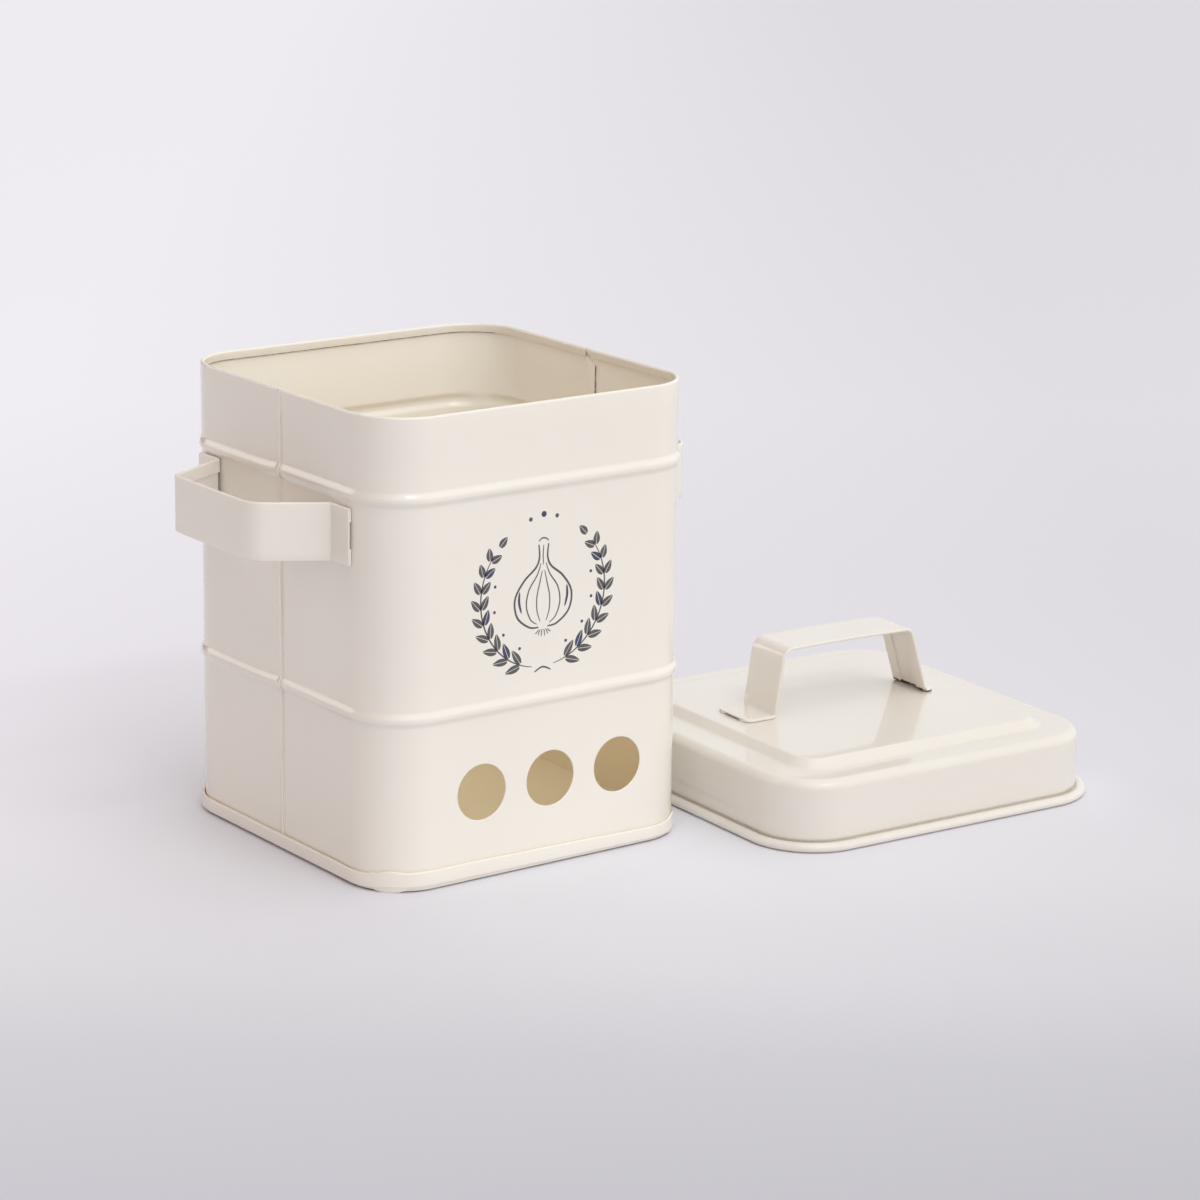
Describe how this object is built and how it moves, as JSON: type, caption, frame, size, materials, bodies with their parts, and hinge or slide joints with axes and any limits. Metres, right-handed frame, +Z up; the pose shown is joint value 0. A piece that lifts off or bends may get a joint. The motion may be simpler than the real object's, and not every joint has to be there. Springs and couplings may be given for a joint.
{
  "type": "garlic keeper",
  "caption": "Square coated-steel storage canister with vent holes low in the front, side strap handles and a lift-off cap lid with its own strap handle, set down beside it.",
  "frame": {"origin": "middle of the canister's flat underside, on the surface it stands on", "axes": "+Z up; -Y the front wall with the vent holes; +X the side on which the lid is set down"},
  "size_m": [0.3124, 0.1838, 0.1623],
  "materials": {
    "cream_coating": "semi-gloss cream baked coating on sheet steel",
    "printed_ink": "thin dark grey screen print"
  },
  "bodies": {
    "canister": {"front_shell": "cream_coating", "rear_shell": "cream_coating", "base_pan": "cream_coating", "left_handle": "cream_coating", "right_handle": "cream_coating"},
    "lid": {"lid_pan": "cream_coating", "lid_handle": "cream_coating"}
  },
  "joints": [
    {"name": "lid_lift", "type": "slide", "parent": "canister", "child": "lid", "axis": [0, 0, 1], "range_m": [0, 0.075]}
  ]
}
